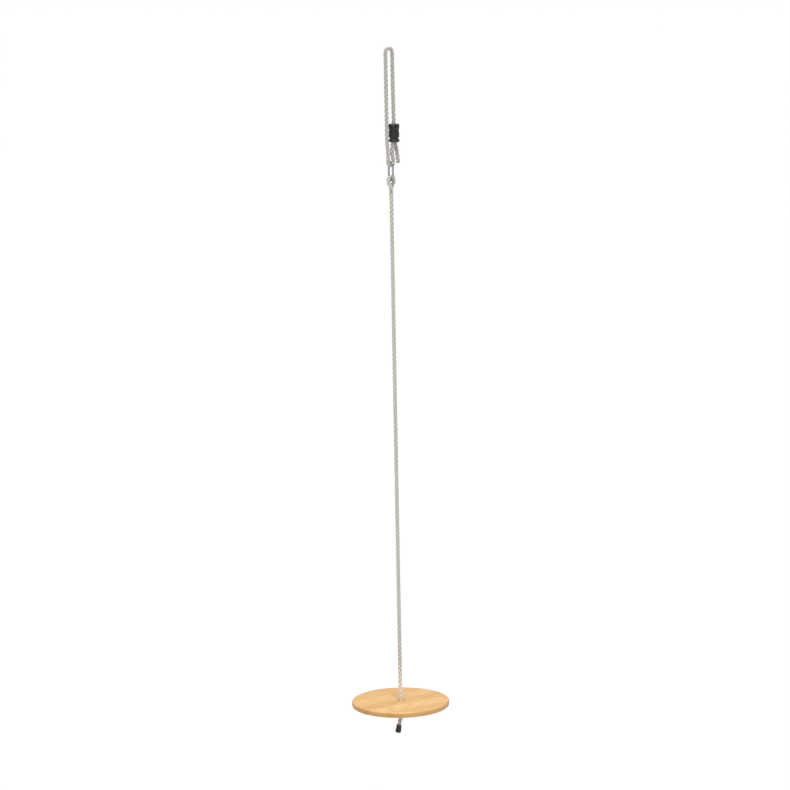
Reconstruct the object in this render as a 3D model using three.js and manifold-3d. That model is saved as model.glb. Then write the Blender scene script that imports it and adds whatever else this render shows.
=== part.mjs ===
// A wooden disc swing: a round seat on one hanging rope, clipped to a height-adjustable rope sling.
// Millimetres, +Z up. The origin is the inner crown of the sling, the point that bears on the hook
// or eye that carries the swing. +X runs across the sling's two strands and along the seat's grain.

import * as THREE from 'three';
import { mergeVertices } from 'three/addons/utils/BufferGeometryUtils.js';
import Module from 'manifold-3d';

// ---------------------------------------------------------------- driving dimensions

const GAP = 0.3;                 // between faces that touch on the real swing

const ROPE_R = 6;                // both ropes are 12 mm thick
const ROPE_SIDES = 10;
const SLING_HALF = 12;           // half the distance between the sling's two strands
const BIGHT_TOP = 6;             // the rope's centre over the hook

const CARABINER = 60;            // overall length of the snap hook
const WIRE_R = 3;
const HOOK_TOP = -334.7;         // centre of the wire in the upper bow
const HOOK_BOTTOM = HOOK_TOP - CARABINER + 2 * WIRE_R;
const UPPER_BOW = 10.5;          // centreline radii of the two bows
const LOWER_BOW = 12;
const LOOP_R = WIRE_R + ROPE_R + 0.4;   // rope's centre round the wire

const ADJUSTER_X = 13.5;         // the adjuster sits on the right-hand strand
const ADJUSTER_TOP = -221;
const ADJUSTER_TURN = THREE.MathUtils.degToRad(33);
const CHANNEL_R = ROPE_R + GAP;
const FLANGE_R = 16.6;
const WAIST_R = 14.2;
const MIDDLE_R = 15.9;           // the shoulder under the ribs
const SPIGOT_R = 13.4;
const RIBS = 18;
const RIB_R = 14.9;

const SPLICE_TOP = -410;
const SPLICE_END = -495;

const SEAT_R = 150;
const SEAT_TOP = -2000;
const SEAT_THICK = 18;
const SEAT_EDGE = 6;             // radius of the rounded rim
const SEAT_HOLE_R = 7;
const STAVE_WIDTH = 54;
const STAVE_JOINT = 12;          // Y of the glue line beside the hole
const STAVE_COUNT = 6;
const GLUE_GAP = 0.2;

const KNOT_R = 18.5;
const KNOT_TALL = 33;

// ---------------------------------------------------------------- materials

const look = (color, roughness, metalness = 0) =>
  new THREE.MeshStandardMaterial({ color, roughness, metalness });

const LOOKS = {
  rope: look(0xd9d2c6, 0.85),
  plastic: look(0x2f2f2d, 0.5),
  zinc: look(0xb4b4b0, 0.3, 1),
  steel: look(0x9a9a98, 0.4, 1),
  wood: look(0xe6bd83, 0.55),
  darkWood: look(0xddb075, 0.55),
};

// ---------------------------------------------------------------- solids and booleans

const wasm = await Module();
wasm.setup();

/** A closed geometry as a manifold solid. */
function solid(geometry) {
  const bare = geometry.clone();
  bare.deleteAttribute('normal');
  bare.deleteAttribute('uv');
  const merged = mergeVertices(bare, 1e-4);
  const index = merged.index.array;
  const kept = [];
  for (let i = 0; i < index.length; i += 3) {
    const [a, b, c] = [index[i], index[i + 1], index[i + 2]];
    if (a !== b && b !== c && c !== a) kept.push(a, b, c);
  }
  return new wasm.Manifold(new wasm.Mesh({
    numProp: 3,
    vertProperties: new Float32Array(merged.attributes.position.array),
    triVerts: new Uint32Array(kept),
  }));
}

/** A manifold solid as a geometry. */
function geometryOf(manifold) {
  const mesh = manifold.getMesh();
  const geometry = new THREE.BufferGeometry();
  geometry.setAttribute('position', new THREE.BufferAttribute(new Float32Array(mesh.vertProperties), 3));
  geometry.setIndex(new THREE.BufferAttribute(new Uint32Array(mesh.triVerts), 1));
  geometry.computeVertexNormals();
  return geometry;
}

const join = (...geometries) => geometries.map(solid).reduce((a, b) => a.add(b));
const cut = (from, ...geometries) => geometries.map(solid).reduce((a, b) => a.subtract(b), from);

const model = new THREE.Group();

function add(parent, name, geometry, material) {
  const mesh = new THREE.Mesh(geometry, material);
  mesh.name = name;
  parent.add(mesh);
  return mesh;
}

// ---------------------------------------------------------------- basic shapes

const at = (x, y, z) => new THREE.Vector3(x, y, z);

/** A cylinder along Z from low to high. */
function rod(radius, low, high, x = 0, y = 0, sides = 24) {
  return new THREE.CylinderGeometry(radius, radius, high - low, sides)
    .rotateX(Math.PI / 2)
    .translate(x, y, (low + high) / 2);
}

/** A box between two corners. */
function block(low, high) {
  return new THREE.BoxGeometry(high[0] - low[0], high[1] - low[1], high[2] - low[2])
    .translate((low[0] + high[0]) / 2, (low[1] + high[1]) / 2, (low[2] + high[2]) / 2);
}

/** A solid of revolution about Z from [radius, z] points listed upwards, starting and ending on the axis. */
function turned(profile, sides = 48) {
  const points = profile.map(([r, z]) => new THREE.Vector2(r, z));
  return new THREE.LatheGeometry(points, sides).rotateX(Math.PI / 2);
}

/** A circle for a section that is swept along a route. */
function circle(radius, sides) {
  const shape = new THREE.Shape();
  for (let i = 0; i < sides; i++) {
    const angle = (2 * Math.PI * i) / sides;
    const [x, y] = [radius * Math.cos(angle), radius * Math.sin(angle)];
    if (i === 0) shape.moveTo(x, y);
    else shape.lineTo(x, y);
  }
  shape.closePath();
  return shape;
}

/** A smooth curve through its points, stepped evenly from point to point, so close points give fine steps. */
class Route extends THREE.CatmullRomCurve3 {
  getPointAt(u, target) { return this.getPoint(u, target); }
  getTangentAt(u, target) { return this.getTangent(u, target); }
  getSpacedPoints(divisions) { return this.getPoints(divisions); }
}

/** A round bar along a route, with so many steps between each two points. */
function bar(points, radius, sides, perPoint = 2) {
  const route = new Route(points.map(([x, y, z]) => at(x, y, z)));
  return new THREE.ExtrudeGeometry(circle(radius, sides), {
    extrudePath: route,
    steps: perPoint * (points.length - 1),
    bevelEnabled: false,
  });
}

/** Points on an arc in the XZ plane, from one angle to another in degrees, ends included. */
function arcXZ(radius, z, from, to, count) {
  return Array.from({ length: count }, (_, i) => {
    const angle = THREE.MathUtils.degToRad(from + ((to - from) * i) / (count - 1));
    return [radius * Math.cos(angle), 0, z + radius * Math.sin(angle)];
  });
}

/** The same in the YZ plane. */
function arcYZ(radius, z, from, to, count) {
  return arcXZ(radius, z, from, to, count).map(([y, , high]) => [0, y, high]);
}

// ---------------------------------------------------------------- sling rope

// From the free tail up through the adjuster, over the hook, down to the snap hook, round its upper
// bow and back up into the adjuster.
const SLING_TAIL = [
  [26.5, 0, -338], [26, 0.4, -325], [24.2, 1.6, -309], [21.5, 2.8, -293], [19.3, 3.4, -280],
];
const SLING_IN_ADJUSTER = [
  [18.8, 3.45, -268], [18.7, 3.4, -255], [17.9, 2.9, -247], [16.1, 1.7, -239],
  [14.4, 0.6, -231], [13.5, 0, -222],
];
const SLING_RIGHT = [[13.2, 0, -200], [12.5, 0, -120], [12, 0, -40], [12, 0, -16]];
const SLING_LEFT = [
  [-12, 0, -16], [-12, 0, -40], [-12, 0, -120], [-12, 0, -200], [-12, 0, -262],
  [-11.3, 0, -280], [-9.8, 0, -297], [-8.9, 0, -312], [-9, 0, -324],
];
const SLING_LEG = [
  [8, -0.3, -323], [5.4, -1.1, -312], [4.1, -2, -300], [4.9, -2.8, -289], [6.9, -3.3, -279],
  [8.1, -3.4, -269], [8.3, -3.4, -255.5],
];

const slingRoute = [
  ...SLING_TAIL,
  ...SLING_IN_ADJUSTER,
  ...SLING_RIGHT,
  ...arcXZ(SLING_HALF, BIGHT_TOP - SLING_HALF, 0, 180, 7),
  ...SLING_LEFT,
  ...arcXZ(LOOP_R, HOOK_TOP, 180, 360, 7),
  ...SLING_LEG,
];

add(model, 'sling_rope', bar(slingRoute, ROPE_R, ROPE_SIDES), LOOKS.rope);

// ---------------------------------------------------------------- rope adjuster

// Modelled about its own axis, with the parting plane at y = 0 and its top at z = 0.
const adjuster = new THREE.Group();
adjuster.position.set(ADJUSTER_X, 0, ADJUSTER_TOP);
adjuster.rotation.z = ADJUSTER_TURN;
model.add(adjuster);

const RING_TOP = -45.8;          // the lock ring forms the lower flange
const RING_END = -53.6;
const RING_R = 16.3;
const SCREW_OUT = 11.2;          // screws from the adjuster's axis
const SCREW_Z = -6.5;
const SCREW_R = 1.5;
const HEAD_R = 2.75;
const HEAD_SEAT = 4.6;           // bearing faces of heads and nuts from the parting plane
const NUT_R = 3.1;
const NUT_THICK = 2.4;

/** The ribbed spool without its lock ring, before the channels are cut. */
function adjusterBlank() {
  const core = turned([
    [0, RING_END + GAP], [SPIGOT_R, RING_END + GAP], [SPIGOT_R, -39.6], [15.2, -39.2],
    [MIDDLE_R, -38.3], [MIDDLE_R, -33.6], [15.5, -32.4], [15, -28], [WAIST_R, -23], [WAIST_R, -16.2],
    [15.6, -14.6], [FLANGE_R, -13.2], [FLANGE_R, -1.5], [15, 0], [0, 0],
  ]);
  const ribs = new THREE.Shape();
  const points = RIBS * 4;
  for (let i = 0; i < points; i++) {
    const angle = (2 * Math.PI * i) / points;
    const radius = i % 4 < 2 ? RIB_R : WAIST_R - 0.2;
    if (i === 0) ribs.moveTo(radius, 0);
    else ribs.lineTo(radius * Math.cos(angle), radius * Math.sin(angle));
  }
  ribs.closePath();
  const waist = new THREE.ExtrudeGeometry(ribs, { depth: 17, steps: 1, bevelEnabled: false })
    .translate(0, 0, -31.5);
  return join(core, waist);
}

/** The ropes' channels in the adjuster's own frame, a gap wider than the ropes. */
function adjusterChannels() {
  const own = new THREE.Matrix4().makeTranslation(ADJUSTER_X, 0, ADJUSTER_TOP)
    .multiply(new THREE.Matrix4().makeRotationZ(ADJUSTER_TURN)).invert();
  const tail = bar([...SLING_TAIL.slice(3), ...SLING_IN_ADJUSTER, ...SLING_RIGHT.slice(0, 1)],
    CHANNEL_R, 16);
  const leg = bar([...SLING_LEG.slice(3, 6), [8.3, -3.4, -255.5 + 2]], CHANNEL_R, 16);
  return [tail.applyMatrix4(own), leg.applyMatrix4(own)];
}

/** A cylinder along Y at a screw's place. */
function across(radius, low, high, side, sides = 24) {
  return new THREE.CylinderGeometry(radius, radius, high - low, sides)
    .translate(side * SCREW_OUT, (low + high) / 2, SCREW_Z);
}

const FAR = 30;
const adjusterBody = cut(
  adjusterBlank(),
  ...adjusterChannels(),
  ...[-1, 1].flatMap((side) => [
    across(SCREW_R + 0.25, -FAR, FAR, side),
    across(HEAD_R + 0.35, -FAR, -HEAD_SEAT, side),
    across(NUT_R + 0.35, HEAD_SEAT, FAR, side, 6),
  ]),
);
const half = (low, high) => solid(block([-FAR, low, -60], [FAR, high, 5]));
add(adjuster, 'adjuster_front_shell',
  geometryOf(adjusterBody.intersect(half(-FAR, -GAP / 2))), LOOKS.plastic);
add(adjuster, 'adjuster_back_shell',
  geometryOf(adjusterBody.intersect(half(GAP / 2, FAR))), LOOKS.plastic);

const lockRing = cut(
  solid(turned([
    [0, RING_END], [15, RING_END], [RING_R, RING_END + 1.4], [RING_R, RING_TOP - 1.4],
    [15, RING_TOP], [0, RING_TOP],
  ])),
  rod(SPIGOT_R + GAP, RING_END - 5, RING_TOP + 5, 0, 0, 48),
);
add(adjuster, 'adjuster_lock_ring', geometryOf(lockRing), LOOKS.plastic);

for (const [side, word] of [[-1, 'left'], [1, 'right']]) {
  const head = across(HEAD_R, -HEAD_SEAT - 3, -HEAD_SEAT - 0.1, side);
  const shank = across(SCREW_R, -HEAD_SEAT - 1, HEAD_SEAT + NUT_THICK + 0.6, side);
  const socket = across(1.35, -HEAD_SEAT - 4, -HEAD_SEAT - 1.4, side, 6);
  add(adjuster, `adjuster_screw_${word}`, geometryOf(cut(join(head, shank), socket)), LOOKS.steel);
  const nut = across(NUT_R, HEAD_SEAT + 0.1, HEAD_SEAT + NUT_THICK, side, 6);
  const thread = across(SCREW_R + 0.15, 0, FAR, side);
  add(adjuster, `adjuster_nut_${word}`, geometryOf(cut(solid(nut), thread)), LOOKS.steel);
}

// ---------------------------------------------------------------- snap hook

const UPPER_CENTRE = HOOK_TOP - UPPER_BOW;
const LOWER_CENTRE = HOOK_BOTTOM + LOWER_BOW;
const GATE_LEAN = Math.atan((LOWER_BOW - UPPER_BOW) / (UPPER_CENTRE - LOWER_CENTRE));
const PIVOT = at(0, UPPER_BOW + 0.1, UPPER_CENTRE - 1.8);

// The gate's own frame: the pivot pin runs along X at the origin, and the gate hangs along -Z.
const GATE_R = 3.2;
const GATE_END = -25.4;
const TONGUE = 2.4;              // thickness of the body's two flattened ends
const SLOT = 3;
const PIN_R = 1.2;
const BORE_R = 1.7;
const BORE_LOW = -17;

const gateFrame = new THREE.Matrix4().makeTranslation(PIVOT.x, PIVOT.y, PIVOT.z)
  .multiply(new THREE.Matrix4().makeRotationX(GATE_LEAN));

/** The round wire from the gate's pivot over the upper bow, down the spine and up to the nose. */
function hookWire() {
  const start = at(0, 0, 4.6).applyMatrix4(gateFrame);
  const nose = at(0, 0, GATE_END - 0.8).applyMatrix4(gateFrame);
  const spine = [0.25, 0.5, 0.75].map((k) => [
    0, -THREE.MathUtils.lerp(UPPER_BOW, LOWER_BOW, k),
    THREE.MathUtils.lerp(UPPER_CENTRE, LOWER_CENTRE, k),
  ]);
  const points = [
    [start.x, start.y, start.z],
    ...arcYZ(UPPER_BOW, UPPER_CENTRE, 22, 180, 8),
    ...spine,
    ...arcYZ(LOWER_BOW, LOWER_CENTRE, 180, 352, 9),
    [nose.x, nose.y, nose.z],
  ];
  return bar(points, WIRE_R, 14);
}

const pivotTongue = join(
  block([-TONGUE / 2, -2.6, 0], [TONGUE / 2, 2.6, 6]),
  new THREE.CylinderGeometry(2.6, 2.6, TONGUE, 24).rotateZ(Math.PI / 2),
);
const noseTongue = join(
  block([-TONGUE / 2, -2.2, GATE_END - 2], [TONGUE / 2, 2.2, GATE_END + 2.6]),
  block([-TONGUE / 2, -1.2, GATE_END + 1], [TONGUE / 2, 2.2, GATE_END + 5]),
);
const pinAcross = (radius, length) =>
  new THREE.CylinderGeometry(radius, radius, length, 24).rotateZ(Math.PI / 2);

const hookEnds = pivotTongue.add(noseTongue).subtract(solid(pinAcross(PIN_R + 0.05, 20)));
const hookBody = solid(hookWire()).add(solid(geometryOf(hookEnds).applyMatrix4(gateFrame)));
add(model, 'carabiner_body', geometryOf(hookBody), LOOKS.zinc);

const gate = new THREE.Group();
gate.applyMatrix4(gateFrame);
model.add(gate);

const gateBlank = new THREE.LatheGeometry([
  [0, GATE_END], [GATE_R - 0.5, GATE_END], [GATE_R, GATE_END + 0.5], [GATE_R, 1.4],
  [GATE_R - 0.8, 3], [0, 3.2],
].map(([r, z]) => new THREE.Vector2(r, z)), 24).rotateX(Math.PI / 2);
const gateSolid = cut(
  solid(gateBlank),
  block([-SLOT / 2, -FAR, -4.4], [SLOT / 2, FAR, 10]),
  block([-SLOT / 2, -FAR, -FAR], [SLOT / 2, FAR, GATE_END + 5.6]),
  pinAcross(PIN_R + 0.05, 20),
  rod(BORE_R, BORE_LOW, 0),
);
add(gate, 'carabiner_gate', geometryOf(gateSolid), LOOKS.zinc);

const rivet = join(
  pinAcross(PIN_R, 2 * GATE_R + 1),
  ...[-1, 1].map((side) => pinAcross(1.9, 0.8).translate(side * (GATE_R + 0.5), 0, 0)),
);
add(gate, 'gate_pin', geometryOf(rivet), LOOKS.steel);

const SPRING_TURNS = 7;
const SPRING_STEPS = 12;
const SPRING_LOW = BORE_LOW + 0.6;
const SPRING_HIGH = -7.4;
const springPoints = Array.from({ length: SPRING_TURNS * SPRING_STEPS + 1 }, (_, i) => {
  const angle = (2 * Math.PI * i) / SPRING_STEPS;
  const z = THREE.MathUtils.lerp(SPRING_LOW, SPRING_HIGH, i / (SPRING_TURNS * SPRING_STEPS));
  return [1.1 * Math.cos(angle), 1.1 * Math.sin(angle), z];
});
add(gate, 'gate_spring', bar(springPoints, 0.25, 6, 1), LOOKS.steel);
add(gate, 'gate_plunger',
  turned([[0, SPRING_HIGH + 0.6], [1.4, SPRING_HIGH + 0.6], [1.4, -4.6], [1, -3.6], [0, -3]], 16),
  LOOKS.steel);

// ---------------------------------------------------------------- seat rope

const EYE_LEG = [
  [8.8, 0.5, -395.5], [7.3, 2.8, -402], [4.6, 4.5, -408.5], [2.4, 4, -416], [1.1, 2, -426],
];

/** Half of the eye, from the top of the wire down one side into the splice; the two legs cross as they close. */
function eyeHalf(side) {
  const points = [...arcXZ(LOOP_R, HOOK_BOTTOM, 90, 0, 4), ...EYE_LEG];
  return bar(points.map(([x, y, z]) => [side * x, side * y, z]), ROPE_R, ROPE_SIDES);
}

const splice = turned([
  [0, SPLICE_END], [ROPE_R, SPLICE_END], [6.2, SPLICE_END + 6], [6.8, -458], [7.5, -430],
  [7.5, -418], [5, SPLICE_TOP], [0, SPLICE_TOP],
], 20);
add(model, 'seat_rope_eye', geometryOf(join(eyeHalf(1), eyeHalf(-1), splice)), LOOKS.rope);

const SEAT_BOTTOM = SEAT_TOP - SEAT_THICK;
const KNOT_TOP = SEAT_BOTTOM - 2 * GAP;
const KNOT_BOTTOM = KNOT_TOP - KNOT_TALL;

const seatRoute = [
  [0, 0, SPLICE_END - GAP], [0, 0, -640], [0, 0, -790], [0, 0, -940], [0, 0, -1090],
  [0, 0, -1240], [0, 0, -1390], [0, 0, -1540], [0, 0, -1690], [0, 0, -1840],
  [0, 0, KNOT_TOP + GAP],
];
const ROPE_STEP = 6;             // steps from point to point, one every two diameters
add(model, 'seat_rope', bar(seatRoute, ROPE_R, ROPE_SIDES, ROPE_STEP), LOOKS.rope);

add(model, 'stopper_knot', turned([
  [0, KNOT_BOTTOM], [8, KNOT_BOTTOM], [14.5, KNOT_BOTTOM + 5], [KNOT_R, KNOT_BOTTOM + 13],
  [KNOT_R, KNOT_BOTTOM + 20], [15, KNOT_TOP - 5], [9, KNOT_TOP], [0, KNOT_TOP],
], 28), LOOKS.rope);

const tailRoute = [
  [-1.4, 0.9, KNOT_BOTTOM - GAP], [-1.5, 1, KNOT_BOTTOM - 5], [-2.5, 1.6, KNOT_BOTTOM - 14],
  [-4.2, 2.7, KNOT_BOTTOM - 25], [-6, 3.9, KNOT_BOTTOM - 35.5], [-7.3, 4.8, KNOT_BOTTOM - 44.5],
];
add(model, 'rope_tail', bar(tailRoute, ROPE_R, ROPE_SIDES), LOOKS.rope);

// The cap's own frame: its bore points up the rope's tail, and its closed end is at the bottom.
const CAP_LONG = 24;
const capFoot = at(-7.9, 5.2, KNOT_BOTTOM - 52);
const capUp = at(-4.6, 3, KNOT_BOTTOM - 26.5).sub(capFoot).normalize();
const cap = new THREE.Group();
cap.position.copy(capFoot);
cap.quaternion.setFromUnitVectors(at(0, 0, 1), capUp);
model.add(cap);
add(cap, 'rope_end_cap', geometryOf(cut(
  solid(turned([
    [0, 0], [7.6, 0], [8.9, 1.4], [8.9, 9], [7.5, 21], [7.2, CAP_LONG], [0, CAP_LONG],
  ], 28)),
  rod(ROPE_R + 0.45, 6, CAP_LONG + 5, 0, 0, 20),
)), LOOKS.plastic);

// ---------------------------------------------------------------- seat

/** The whole disc with its rounded rim, as one solid. */
function seatBlank() {
  const rim = [];
  const STEPS = 5;
  const corner = (z, from) => {
    for (let i = 0; i <= STEPS; i++) {
      const angle = from + (i / STEPS) * (Math.PI / 2);
      rim.push([SEAT_R - SEAT_EDGE + SEAT_EDGE * Math.cos(angle), z + SEAT_EDGE * Math.sin(angle)]);
    }
  };
  corner(SEAT_BOTTOM + SEAT_EDGE, -Math.PI / 2);
  corner(SEAT_TOP - SEAT_EDGE, 0);
  return turned([[0, SEAT_BOTTOM], ...rim, [0, SEAT_TOP]], 120);
}

const seat = cut(solid(seatBlank()), rod(SEAT_HOLE_R, SEAT_BOTTOM - 5, SEAT_TOP + 5, 0, 0, 32));
for (let i = 0; i < STAVE_COUNT; i++) {
  const back = i === 0 ? SEAT_R + 5 : STAVE_JOINT + STAVE_WIDTH * (3 - i) - GLUE_GAP / 2;
  const front = i === STAVE_COUNT - 1 ? -SEAT_R - 5 : STAVE_JOINT + STAVE_WIDTH * (2 - i) + GLUE_GAP / 2;
  const slice = block([-SEAT_R - 5, front, SEAT_BOTTOM - 5], [SEAT_R + 5, back, SEAT_TOP + 5]);
  add(model, `seat_stave_${i + 1}`, geometryOf(seat.intersect(solid(slice))),
    i % 2 ? LOOKS.wood : LOOKS.darkWood);
}

export default model;
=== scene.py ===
"""The looks of the disc swing: laid ropes, a moulded adjuster, a zinc snap hook and a glued wooden seat,
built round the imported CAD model. Metres, in the CAD frame: the origin is the inner crown of the sling."""

import math

import bmesh
import bpy
import numpy as np
from mathutils import Matrix, Vector


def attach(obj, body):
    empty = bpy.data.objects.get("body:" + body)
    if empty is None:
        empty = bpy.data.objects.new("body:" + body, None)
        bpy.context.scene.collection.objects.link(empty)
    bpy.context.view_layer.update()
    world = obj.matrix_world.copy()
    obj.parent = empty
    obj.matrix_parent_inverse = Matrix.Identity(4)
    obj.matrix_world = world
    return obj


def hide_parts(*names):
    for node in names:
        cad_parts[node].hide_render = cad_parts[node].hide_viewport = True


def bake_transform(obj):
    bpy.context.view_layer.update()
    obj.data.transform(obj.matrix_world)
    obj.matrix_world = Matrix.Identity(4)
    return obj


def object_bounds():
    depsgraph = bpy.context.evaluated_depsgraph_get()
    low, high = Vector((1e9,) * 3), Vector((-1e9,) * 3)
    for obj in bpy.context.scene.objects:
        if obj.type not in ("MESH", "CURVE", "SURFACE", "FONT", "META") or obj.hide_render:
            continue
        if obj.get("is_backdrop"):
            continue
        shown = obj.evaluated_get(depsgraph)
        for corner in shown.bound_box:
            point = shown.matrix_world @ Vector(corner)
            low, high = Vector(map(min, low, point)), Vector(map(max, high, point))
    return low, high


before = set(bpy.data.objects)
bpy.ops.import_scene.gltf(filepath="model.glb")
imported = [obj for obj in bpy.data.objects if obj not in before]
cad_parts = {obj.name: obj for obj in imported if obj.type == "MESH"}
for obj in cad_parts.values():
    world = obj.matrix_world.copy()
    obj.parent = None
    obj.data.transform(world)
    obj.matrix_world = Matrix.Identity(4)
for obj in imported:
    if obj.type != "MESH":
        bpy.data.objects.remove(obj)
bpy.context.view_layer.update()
scene = bpy.context.scene
MM = 0.001

# ---------------------------------------------------------------- camera

CAMERA_AT = Vector((-6.01, -9.21, 0.995))
LOOK_AT = Vector((0.0, 0.0, -1.045))
ROLL = math.radians(-1.05)  # the swing stands a little off the picture's upright

camera_data = bpy.data.cameras.new("camera")
camera_data.lens = 168.0
camera_data.sensor_width = 36.0
camera_data.clip_end = 1000.0
camera = bpy.data.objects.new("camera", camera_data)
camera.location = CAMERA_AT
level = (LOOK_AT - CAMERA_AT).to_track_quat("-Z", "Y").to_matrix()
camera.rotation_euler = (level @ Matrix.Rotation(ROLL, 3, "Z")).to_euler()
scene.collection.objects.link(camera)
scene.camera = camera
scene.view_settings.view_transform = "Standard"

# ---------------------------------------------------------------- sizes the pieces share

ROPE_R = 6.0 * MM
LAY = 42.0 * MM  # one turn of the rope's three strands
STRAND_OFFSET = 3.1 * MM  # a strand's centre from the rope's centre
STRAND_R = 3.12 * MM
YARNS = 9  # yarns round a strand
YARN_LAY = 36.7 * MM  # one turn of the yarns, which run with the rope
RING_STEP = 2.0 * MM

HOOK_TOP = -334.7  # centres of the snap hook's wire, in millimetres as in the CAD source
HOOK_BOTTOM = -388.7
SPLICE_END = -495.0
SEAT_TOP = -2000.0
SEAT_BOTTOM = -2018.0
LOOP_R = 9.4

# ---------------------------------------------------------------- curves


def arc_xz(radius, z, start, end, count):
    """Points on an arc in the XZ plane, angles in degrees."""
    angles = np.radians(np.linspace(start, end, count))
    return np.stack([radius * np.cos(angles), 0 * angles, z + radius * np.sin(angles)], 1)


def arc_yz(radius, z, start, end, count):
    """The same in the YZ plane."""
    return arc_xz(radius, z, start, end, count)[:, [1, 0, 2]]


def smooth(points, per_point=24):
    """A centripetal Catmull-Rom curve through the points, as the CAD source draws its routes."""
    p = np.asarray(points, float)
    p = np.concatenate([[2 * p[0] - p[1]], p, [2 * p[-1] - p[-2]]])
    parts = []
    for a, b, c, d in zip(p[:-3], p[1:-2], p[2:-1], p[3:]):
        spans = [max(np.linalg.norm(v), 1e-9) ** 0.5 for v in (b - a, c - b, d - c)]
        t = np.concatenate([[0.0], np.cumsum(spans)])
        s = np.linspace(t[1], t[2], per_point, endpoint=False)[:, None]
        a1 = ((t[1] - s) * a + (s - t[0]) * b) / (t[1] - t[0])
        a2 = ((t[2] - s) * b + (s - t[1]) * c) / (t[2] - t[1])
        a3 = ((t[3] - s) * c + (s - t[2]) * d) / (t[3] - t[2])
        b1 = ((t[2] - s) * a1 + (s - t[0]) * a2) / (t[2] - t[0])
        b2 = ((t[3] - s) * a2 + (s - t[1]) * a3) / (t[3] - t[1])
        parts.append(((t[2] - s) * b1 + (s - t[1]) * b2) / (t[2] - t[1]))
    return np.concatenate([*parts, [p[-2]]])


def distances(line):
    """Length along the line at each of its points."""
    return np.concatenate([[0.0], np.cumsum(np.linalg.norm(np.diff(line, axis=0), axis=1))])


def resampled(line, step):
    """The line with even steps of about this length."""
    s = distances(line)
    even = np.linspace(0, s[-1], int(round(s[-1] / step)) + 1)
    return np.stack([np.interp(even, s, line[:, k]) for k in range(3)], 1)


def unit(v):
    return v / np.maximum(np.linalg.norm(v, axis=-1, keepdims=True), 1e-12)


def frames(line, normal=(1.0, 0.0, 0.0)):
    """Tangents, normals and binormals along the line, turned as little as possible from point to point."""
    tangents = unit(np.gradient(line, axis=0))
    n = np.asarray(normal, float)
    normals = []
    for t in tangents:
        n = n - t * (n @ t)
        n = n / np.linalg.norm(n)
        normals.append(n)
    normals = np.array(normals)
    return tangents, normals, np.cross(tangents, normals)


# ---------------------------------------------------------------- meshes


def mesh_object(name, vertices, faces, material=None, uv=None, groove=None, sharp=None):
    """A mesh piece with smooth shading; sharp is the angle in degrees above which an edge stays crisp."""
    mesh = bpy.data.meshes.new(name)
    mesh.from_pydata([tuple(v) for v in np.asarray(vertices)], [], [list(map(int, f)) for f in faces])
    mesh.shade_smooth()
    if uv is not None:
        layer = mesh.uv_layers.new(name="along")
        layer.data.foreach_set("uv", np.asarray(uv, np.float32).ravel())
    if groove is not None:
        attribute = mesh.attributes.new("groove", "FLOAT", "POINT")
        attribute.data.foreach_set("value", np.asarray(groove, np.float32))
    piece = bpy.data.objects.new(name, mesh)
    scene.collection.objects.link(piece)
    if material is not None:
        mesh.materials.append(material)
    if sharp is not None:
        crisp(piece, sharp)
    return piece


def crisp(piece, degrees):
    """Marks the edges sharper than this as sharp, and shades the rest smooth."""
    bm = bmesh.new()
    bm.from_mesh(piece.data)
    bmesh.ops.recalc_face_normals(bm, faces=bm.faces)
    for f in bm.faces:
        f.smooth = True
    limit = math.radians(degrees)
    for e in bm.edges:
        e.smooth = len(e.link_faces) == 2 and e.calc_face_angle() < limit
    bm.to_mesh(piece.data)
    bm.free()


def grid_faces(rings, sides, start=0):
    """Quads between consecutive rings of so many points, closed round."""
    i = np.arange(rings - 1)[:, None] * sides + start
    j = np.arange(sides)[None, :]
    k = (j + 1) % sides
    return np.stack([i + j, i + k, i + sides + k, i + sides + j], -1).reshape(-1, 4)


def strand_tubes(name, strands, radii, centres, material, sides=14):
    """Round tubes along the strands' lines, with u along them in metres and v round them.
    centres are the rope's own points beside each strand point, for the depth of the grooves."""
    vertices, faces, uv, groove = [], [], [], []
    start = 0
    turn = 2 * np.pi * np.arange(sides) / sides
    for line, radius, middle in zip(strands, radii, centres):
        radius = np.broadcast_to(np.asarray(radius, float), (len(line),))
        _, n, b = frames(line, (0.83, 0.51, 0.2))
        ring = line[:, None] + radius[:, None, None] * (
            n[:, None] * np.cos(turn)[None, :, None] + b[:, None] * np.sin(turn)[None, :, None]
        )
        vertices.append(ring.reshape(-1, 3))
        # How deep each point lies in the rope; the rope material turns this into painted shade in the
        # grooves.
        groove.append((np.linalg.norm(ring - middle[:, None], axis=2) / ROPE_R).ravel())
        quads = grid_faces(len(line), sides, start)
        faces += [list(q) for q in quads]
        s = distances(line)
        low, high = np.repeat(s[:-1], sides), np.repeat(s[1:], sides)
        v0 = np.tile(np.arange(sides) / sides, len(line) - 1)
        v1 = v0 + 1 / sides
        uv.append(np.stack([low, v0, low, v1, high, v1, high, v0], 1).reshape(-1, 2))
        last = start + (len(line) - 1) * sides
        faces += [list(range(start + sides - 1, start - 1, -1)), list(range(last, last + sides))]
        uv.append(np.zeros((2 * sides, 2)))
        start += len(line) * sides
    return mesh_object(
        name, np.concatenate(vertices), faces, material, np.concatenate(uv), np.concatenate(groove), sharp=70
    )


def laid_strands(line, phase, normal=(1.0, 0.0, 0.0), offset=STRAND_OFFSET):
    """The centre lines of a right-handed three-strand rope along the line."""
    _, n, b = frames(line, normal)
    s = distances(line)
    offset = np.broadcast_to(np.asarray(offset, float), (len(line),))[:, None]
    strands = []
    for k in range(3):
        angle = phase + 2 * np.pi * (s / LAY + k / 3)
        strands.append(line + offset * (n * np.cos(angle)[:, None] + b * np.sin(angle)[:, None]))
    return strands


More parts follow.
